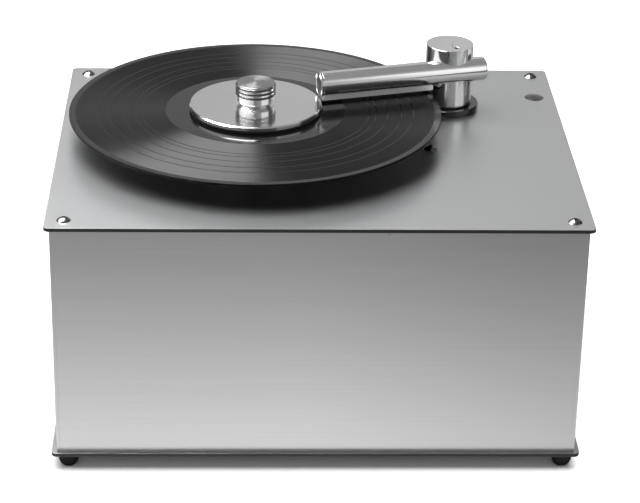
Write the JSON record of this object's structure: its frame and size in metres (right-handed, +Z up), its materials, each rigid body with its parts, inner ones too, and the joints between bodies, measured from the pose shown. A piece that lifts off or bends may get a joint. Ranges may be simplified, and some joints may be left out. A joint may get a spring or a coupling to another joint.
{
  "type": "record cleaning machine",
  "caption": "Record cleaning machine: square metal case, spinning record support with drop-on clamp, and a sprung, swinging suction arm over the record.",
  "frame": {"origin": "on the floor, under the middle of the machine's box with its drain spout, so the middle of the case lies 10 mm in front of it", "axes": "+X to the right, +Y to the back, +Z up, seen from the front"},
  "size_m": [0.412, 0.349, 0.2652],
  "materials": {
    "plate_composite": "satin skin on a black core",
    "brushed_panel": "fine horizontal brush",
    "plain_aluminium": "plain machined",
    "turned_aluminium": "fine turned face",
    "polished_aluminium": "polished",
    "rail_aluminium": "drawn bar, lightly brushed",
    "chrome": "bright",
    "steel": "zinc plated",
    "blower_steel": "pressed sheet",
    "motor_can": "dark plated can",
    "bronze": "sintered bronze",
    "brass": "nickelled brass",
    "black_rubber": "matt",
    "gloss_black": "gloss",
    "black_plastic": "fine grain",
    "rocker_plastic": "semi-gloss",
    "white_plastic": "plain moulded",
    "tank_plastic": "natural moulded",
    "red_lever": "dipped",
    "circuit_board": "coated board with parts",
    "vinyl": "grooved",
    "velvet": "short pile"
  },
  "bodies": {
    "case": {"deck_plate": "plate_composite", "base_plate": "plate_composite", "front_panel": "brushed_panel", "back_panel": "brushed_panel", "left_panel": "brushed_panel", "right_panel": "brushed_panel", "corner_posts": "plain_aluminium", "deck_screws": "chrome", "feet": "black_rubber", "foot_screws": "steel", "deck_plug": "chrome", "platter_bearing": "plain_aluminium", "bearing_bushes": "bronze", "motor_plate": "steel", "motor_posts": "steel", "motor_screws": "steel", "gearbox": "steel", "platter_motor": "motor_can", "arm_flange": "gloss_black", "flange_screws": "chrome", "arm_guide": "black_plastic", "guide_bush": "bronze", "arm_seal": "black_rubber", "lift_spring": "steel", "waste_tank": "tank_plastic", "tank_lid": "tank_plastic", "tank_post": "steel", "suction_hose": "black_rubber", "vacuum_hose": "black_rubber", "blower_housing": "blower_steel", "blower_motor": "motor_can", "blower_mounts": "black_rubber", "drain_valve": "brass", "drain_sleeve": "black_rubber", "mains_inlet": "black_plastic", "power_board": "circuit_board", "motor_switch": "black_plastic", "vacuum_switch": "black_plastic"},
    "turning_support": {"output_shaft": "steel", "shaft_coupling": "plain_aluminium", "spindle": "steel", "platter": "plain_aluminium", "platter_mat": "black_rubber", "record": "vinyl"},
    "clamp": {"clamp_disc": "turned_aluminium", "clamp_knob": "polished_aluminium", "clamp_seal": "black_rubber"},
    "arm_carrier": {"thrust_washer": "white_plastic"},
    "arm": {"arm_sleeve": "plain_aluminium", "arm_column": "polished_aluminium", "arm_set_screw": "steel", "arm_tube": "polished_aluminium", "tube_plug": "polished_aluminium", "nozzle_rail": "rail_aluminium", "velvet_strips": "velvet"},
    "fan": {"blower_impeller": "plain_aluminium"},
    "tap_lever": {"drain_lever": "red_lever"},
    "motor_rocker": {"motor_rocker": "rocker_plastic"},
    "vacuum_rocker": {"vacuum_rocker": "rocker_plastic"}
  },
  "joints": [
    {"name": "support_spin", "type": "hinge", "parent": "case", "child": "turning_support", "pos_m": [-0.048, 0.01, 0.2], "axis": [0, 0, 1], "continuous": true},
    {"name": "clamp_lift", "type": "slide", "parent": "turning_support", "child": "clamp", "axis": [0, 0, 1], "range_m": [0, 0.04]},
    {"name": "arm_lift", "type": "slide", "parent": "case", "child": "arm_carrier", "axis": [0, 0, 1], "range_m": [-0.0008, 0.008], "stiffness_N_per_m": 250, "springref_m": 0.0087, "deforming": ["lift_spring"]},
    {"name": "arm_swing", "type": "hinge", "parent": "arm_carrier", "child": "arm", "pos_m": [0.1135, 0.07, 0.2], "axis": [0, 0, 1], "range_deg": [-60, 110]},
    {"name": "fan_spin", "type": "hinge", "parent": "case", "child": "fan", "pos_m": [-0.125, 0.078, 0.11], "axis": [0, 0, 1], "continuous": true},
    {"name": "tap_turn", "type": "hinge", "parent": "case", "child": "tap_lever", "pos_m": [0.06, 0.1575, 0.04], "axis": [0, 0, 1], "range_deg": [0, 90]},
    {"name": "motor_switch_tip", "type": "hinge", "parent": "case", "child": "motor_rocker", "pos_m": [0.197, -0.128, 0.168], "axis": [0, 1, 0], "range_deg": [-12, 12]},
    {"name": "vacuum_switch_tip", "type": "hinge", "parent": "case", "child": "vacuum_rocker", "pos_m": [0.197, -0.094, 0.168], "axis": [0, 1, 0], "range_deg": [-20, 0]}
  ]
}
